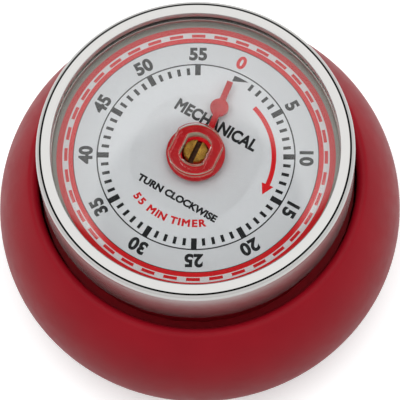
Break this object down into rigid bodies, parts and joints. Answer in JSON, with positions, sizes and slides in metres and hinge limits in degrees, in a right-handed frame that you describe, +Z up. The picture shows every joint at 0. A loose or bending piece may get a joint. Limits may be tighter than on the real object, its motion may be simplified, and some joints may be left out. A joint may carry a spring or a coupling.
{
  "type": "kitchen timer",
  "caption": "Round mechanical kitchen timer with a magnetic back: a turned ring and pointer wind a clockwork movement that strikes a bell at zero.",
  "frame": {"origin": "middle of the flat underside, on the vertical axis of the ring", "axes": "+Z up through the dial, +Y towards the dial's zero minute mark, +X towards its 15 minute mark"},
  "size_m": [0.07, 0.07, 0.0415],
  "materials": {
    "red_lacquer": "satin red lacquer over drawn steel",
    "chrome": "polished chrome plate",
    "black_moulding": "moulded black plastic",
    "rubber": "matte rubber",
    "ferrite": "ground ferrite",
    "plated_steel": "zinc plated steel",
    "spring_steel": "blued spring steel",
    "brass": "rolled and turned brass",
    "bell_metal": "nickel plated bell steel",
    "printed_dial": "painted aluminium with printed scale",
    "red_plastic": "moulded red plastic",
    "clear_plastic": "clear moulded plastic"
  },
  "bodies": {
    "case": {"body_shell": "red_lacquer", "back_plate": "black_moulding", "magnet_cup": "plated_steel", "magnet": "ferrite", "foot_ring": "rubber", "back_screw_1": "plated_steel", "back_screw_2": "plated_steel", "back_screw_3": "plated_steel", "spacer_1": "plated_steel", "spacer_2": "plated_steel", "spacer_3": "plated_steel", "rear_plate": "plated_steel", "front_plate": "plated_steel", "pillar_1": "plated_steel", "pillar_2": "plated_steel", "pillar_3": "plated_steel", "pillar_nut_1": "brass", "pillar_nut_2": "brass", "pillar_nut_3": "brass", "bell_post": "brass", "bell": "bell_metal", "bell_screw": "plated_steel", "dial_carrier": "red_plastic", "dial_screw_1": "plated_steel", "dial_screw_2": "plated_steel", "dial": "printed_dial", "mainspring": "spring_steel", "detent_post": "plated_steel"},
    "ring": {"bezel": "chrome", "lens_ring": "chrome", "lens": "clear_plastic", "pointer": "red_plastic", "main_arbor": "brass", "clutch_washer": "spring_steel", "cam": "plated_steel"},
    "main_wheel": {"main_wheel": "brass"},
    "second": {"second_pinion": "plated_steel", "second_wheel": "brass"},
    "third": {"third_pinion": "plated_steel", "third_wheel": "brass"},
    "escape": {"escape_pinion": "plated_steel", "escape_wheel": "brass"},
    "strike": {"strike_pinion": "plated_steel", "strike_wheel": "plated_steel"},
    "balance": {"balance_staff": "plated_steel", "balance_wheel": "brass", "verge_pallets": "plated_steel"},
    "hammer": {"hammer_arbor": "plated_steel", "hammer_arm": "plated_steel", "hammer_head": "brass", "hammer_pallets": "plated_steel", "hammer_catch": "plated_steel"},
    "detent": {"detent_lever": "plated_steel"}
  },
  "joints": [
    {"name": "ring_turn", "type": "hinge", "parent": "case", "child": "ring", "pos_m": [0, 0, 0.0245], "axis": [0, 0, -1], "range_deg": [0, 336.5]},
    {"name": "main_wheel_turn", "type": "hinge", "parent": "case", "child": "main_wheel", "pos_m": [0, 0, 0.0245], "axis": [0, 0, -1], "range_deg": [0, 337]},
    {"name": "second_wheel_turn", "type": "hinge", "parent": "case", "child": "second", "pos_m": [0.014, 0, 0.0245], "axis": [0, 0, -1], "range_deg": [-2020, 0]},
    {"name": "third_wheel_turn", "type": "hinge", "parent": "case", "child": "third", "pos_m": [0.01057, 0.00918, 0.0245], "axis": [0, 0, -1], "range_deg": [0, 12120]},
    {"name": "escape_wheel_turn", "type": "hinge", "parent": "case", "child": "escape", "pos_m": [0.00172, 0.01339, 0.0245], "axis": [0, 0, -1], "range_deg": [-72700, 0]},
    {"name": "strike_wheel_turn", "type": "hinge", "parent": "case", "child": "strike", "pos_m": [0.00536, -0.01293, 0.0245], "axis": [0, 0, -1], "range_deg": [-2020, 0]},
    {"name": "balance_rock", "type": "hinge", "parent": "case", "child": "balance", "pos_m": [-0.00483, 0.0142, 0.0245], "axis": [0, 0, -1], "range_deg": [-20, 20]},
    {"name": "hammer_swing", "type": "hinge", "parent": "case", "child": "hammer", "pos_m": [-0.00097, -0.01387, 0.0245], "axis": [0, 0, -1], "range_deg": [0, 14]},
    {"name": "detent_lift", "type": "hinge", "parent": "case", "child": "detent", "pos_m": [-0.00832, -0.01188, 0.0245], "axis": [0, 0, 1], "range_deg": [0, 6]}
  ],
  "couplings": [
    {"joint": "main_wheel_turn", "follows": "ring_turn", "ratio": 1},
    {"joint": "second_wheel_turn", "follows": "ring_turn", "ratio": -6},
    {"joint": "third_wheel_turn", "follows": "ring_turn", "ratio": 36},
    {"joint": "escape_wheel_turn", "follows": "ring_turn", "ratio": -216},
    {"joint": "strike_wheel_turn", "follows": "ring_turn", "ratio": -6}
  ]
}
